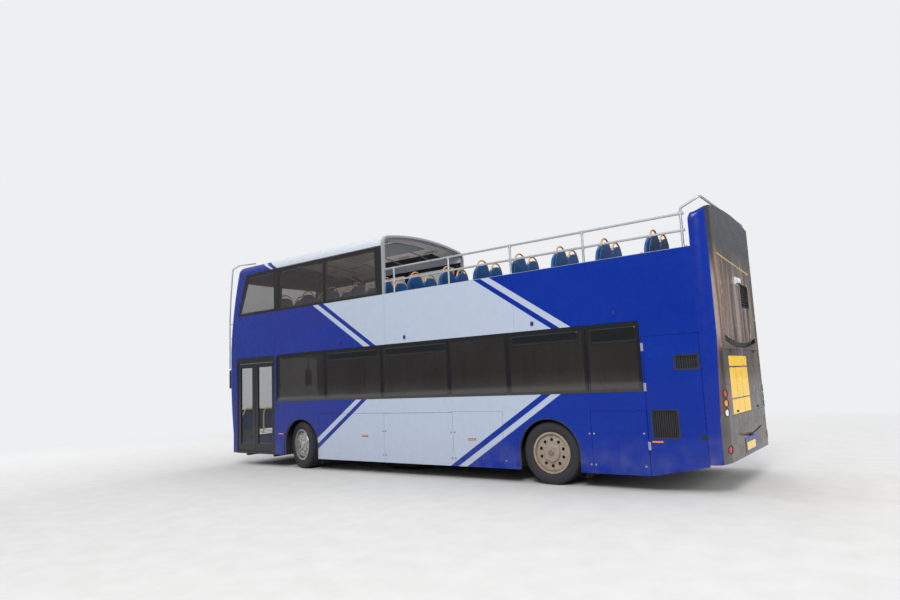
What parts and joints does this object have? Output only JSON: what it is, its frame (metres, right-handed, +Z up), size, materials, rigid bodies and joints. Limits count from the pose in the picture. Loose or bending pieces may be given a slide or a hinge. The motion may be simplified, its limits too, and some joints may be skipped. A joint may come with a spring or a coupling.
{
  "type": "open top double decker bus",
  "caption": "Two axle open top double decker sightseeing bus with a front canopy, railed upper deck, steered front wheels, folding entrance and opening service doors.",
  "frame": {"origin": "on the ground, below the middle of the bus", "axes": "+X forward, +Y to the nearside with the passenger door, +Z up"},
  "size_m": [10.557, 2.6384, 4.42],
  "materials": {
    "body_blue": "deep gloss royal blue coach paint",
    "roof_white": "gloss white paint",
    "rear_grey": "dark grey bumper paint",
    "rear_wrap": null,
    "black_frame": "black frames and bonded band",
    "dark_glass": "tinted window glass",
    "clear_glass": "clear door and screen glass",
    "arch_silver": "satin aluminium",
    "rail_steel": "satin steel tube",
    "chassis_black": "black chassis paint",
    "axle_iron": "cast and painted",
    "tyre_rubber": "black tyre rubber",
    "rim_silver": "silver rim paint with road dust",
    "seat_blue": "blue weatherproof seat covering",
    "handle_orange": "orange powder coat",
    "pole_yellow": "yellow powder coat",
    "floor_vinyl": "speckled floor covering",
    "trim_grey": "grey interior moulding",
    "lamp_clear": "clear lamp lens",
    "lamp_red": "coloured lamp lens",
    "black_plastic": "black moulded plastic"
  },
  "bodies": {
    "bus": {"air_springs": "tyre_rubber", "canopy_arch": "arch_silver", "canopy_glass": "dark_glass", "canopy_pillars": "black_frame", "canopy_roof": "roof_white", "chassis_frame": "chassis_black", "dashboard": "black_plastic", "door_frame": "black_frame", "driver_seat": "seat_blue", "engine_block": "axle_iron", "fixed_grilles": "black_plastic", "front_axle_beam": "axle_iron", "front_lower_panel": "body_blue", "front_upper_panel": "body_blue", "grab_poles": "pole_yellow", "guard_rails": "rail_steel", "head_lamps": "lamp_clear", "lower_floor": "floor_vinyl", "lower_seats": "seat_blue", "lower_side_nearside": "body_blue", "lower_side_offside": "body_blue", "mirrors": "black_plastic", "radius_rods": "chassis_black", "rear_axle_housing": "axle_iron", "rear_bumper": "rear_grey", "rear_hoop_rail": "rail_steel", "rear_lamps": "lamp_red", "rear_platform": "floor_vinyl", "rear_surround": "rear_wrap", "rear_upper_panel": "rear_wrap", "saloon_glass": "dark_glass", "seat_handles": "handle_orange", "staircase": "trim_grey", "tree_guard": "rail_steel", "upper_floor": "floor_vinyl", "upper_seats": "seat_blue", "upper_side_nearside": "body_blue", "upper_side_offside": "body_blue", "wheel_boxes": "black_plastic", "windscreens": "clear_glass"},
    "wheel_front_left": {"front_tyre_left": "tyre_rubber", "front_rim_left": "rim_silver"},
    "wheel_front_right": {"front_tyre_right": "tyre_rubber", "front_rim_right": "rim_silver"},
    "wheel_rear_left": {"rear_tyres_left": "tyre_rubber", "rear_rims_left": "rim_silver"},
    "wheel_rear_right": {"rear_tyres_right": "tyre_rubber", "rear_rims_right": "rim_silver"},
    "knuckle_left": {"steering_knuckle_left": "axle_iron"},
    "knuckle_right": {"steering_knuckle_right": "axle_iron"},
    "door_front": {"door_leaf_front": "black_frame", "door_glass_front": "clear_glass"},
    "door_rear": {"door_leaf_rear": "black_frame", "door_glass_rear": "clear_glass"},
    "engine_cover": {"engine_door": "rear_wrap"},
    "engine_side": {"engine_side_door": "body_blue", "side_grilles": "black_plastic"},
    "flap_front": {"skirt_flap_front": "body_blue"},
    "flap_middle": {"skirt_flap_middle": "body_blue"},
    "flap_rear": {"skirt_flap_rear": "body_blue"}
  },
  "joints": [
    {"name": "steer_right", "type": "hinge", "parent": "bus", "child": "knuckle_right", "pos_m": [2.75, -0.99, 0.462], "axis": [0, 0, 1], "range_deg": [-27, 52]},
    {"name": "steer_left", "type": "hinge", "parent": "bus", "child": "knuckle_left", "pos_m": [2.75, 0.99, 0.462], "axis": [0, 0, 1], "range_deg": [-27, 52]},
    {"name": "wheel_front_left_spin", "type": "hinge", "parent": "knuckle_left", "child": "wheel_front_left", "pos_m": [2.77523, 1.08418, 0.462], "axis": [0.2588, 0.9659, 0], "continuous": true},
    {"name": "wheel_front_right_spin", "type": "hinge", "parent": "knuckle_right", "child": "wheel_front_right", "pos_m": [2.72477, -1.08418, 0.462], "axis": [0.2588, 0.9659, 0], "continuous": true},
    {"name": "wheel_rear_left_spin", "type": "hinge", "parent": "bus", "child": "wheel_rear_left", "pos_m": [-2.77, 1.0875, 0.462], "axis": [0, 1, 0], "continuous": true},
    {"name": "wheel_rear_right_spin", "type": "hinge", "parent": "bus", "child": "wheel_rear_right", "pos_m": [-2.77, -1.0875, 0.462], "axis": [0, 1, 0], "continuous": true},
    {"name": "door_front_swing", "type": "hinge", "parent": "bus", "child": "door_front", "pos_m": [4.7875, 1.2505, 1.2], "axis": [0, 0, 1], "range_deg": [0, 88]},
    {"name": "door_rear_swing", "type": "hinge", "parent": "bus", "child": "door_rear", "pos_m": [3.6125, 1.2505, 1.2], "axis": [0, 0, 1], "range_deg": [-88, 0]},
    {"name": "engine_cover_lift", "type": "hinge", "parent": "bus", "child": "engine_cover", "pos_m": [-5.28, 0, 1.8375], "axis": [0, 1, 0], "range_deg": [0, 80]},
    {"name": "engine_side_swing", "type": "hinge", "parent": "bus", "child": "engine_side", "pos_m": [-4.2825, 1.275, 1.2], "axis": [0, 0, 1], "range_deg": [-100, 0]},
    {"name": "flap_front_lift", "type": "hinge", "parent": "bus", "child": "flap_front", "pos_m": [1.3635, 1.275, 1.0695], "axis": [1, 0, 0], "range_deg": [0, 95]},
    {"name": "flap_middle_lift", "type": "hinge", "parent": "bus", "child": "flap_middle", "pos_m": [-0.2575, 1.275, 1.0695], "axis": [1, 0, 0], "range_deg": [0, 95]},
    {"name": "flap_rear_lift", "type": "hinge", "parent": "bus", "child": "flap_rear", "pos_m": [-3.8675, 1.275, 1.0695], "axis": [1, 0, 0], "range_deg": [0, 95]}
  ],
  "couplings": [
    {"joint": "steer_left", "follows": "steer_right", "ratio": 1}
  ]
}
